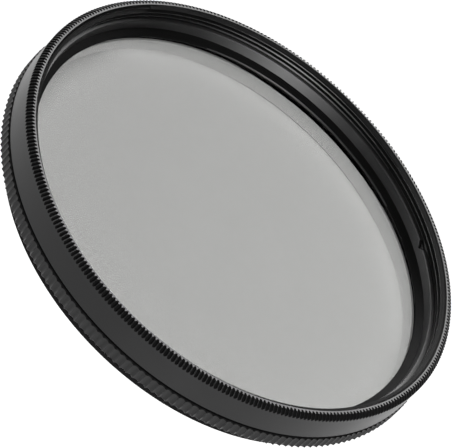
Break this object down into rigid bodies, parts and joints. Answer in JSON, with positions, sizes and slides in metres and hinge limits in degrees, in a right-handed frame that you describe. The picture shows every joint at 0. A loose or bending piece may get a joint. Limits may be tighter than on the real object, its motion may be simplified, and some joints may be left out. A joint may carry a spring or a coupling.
{
  "type": "screw in lens filter",
  "caption": "Circular polarising filter for a camera lens: a glass stack in a knurled front ring that turns freely in a threaded, ribbed base ring.",
  "frame": {"origin": "on the optical axis, in the plane of the rear thread's end face", "axes": "+Z along the optical axis, from the rear thread towards the front rim; +X square to it"},
  "size_m": [0.071, 0.071, 0.0094],
  "materials": {
    "base_black": "black anodised, satin",
    "spring_steel": "drawn wire",
    "front_black": "black anodised, satin",
    "retainer_black": "black anodised, fine turned",
    "coated_glass": "polished, coated",
    "polariser": "clear neutral grey",
    "retarder": "clear",
    "rear_glass": "polished, coated"
  },
  "bodies": {
    "base": {"base_ring": "base_black", "snap_wire": "spring_steel"},
    "turning_front": {"front_ring": "front_black", "retaining_ring": "retainer_black", "front_glass": "coated_glass", "polarising_foil": "polariser", "quarter_wave_foil": "retarder", "rear_glass": "rear_glass"}
  },
  "joints": [
    {"name": "front_turn", "type": "hinge", "parent": "base", "child": "turning_front", "pos_m": [0, 0, 0.0037], "axis": [0, 0, 1], "continuous": true}
  ]
}
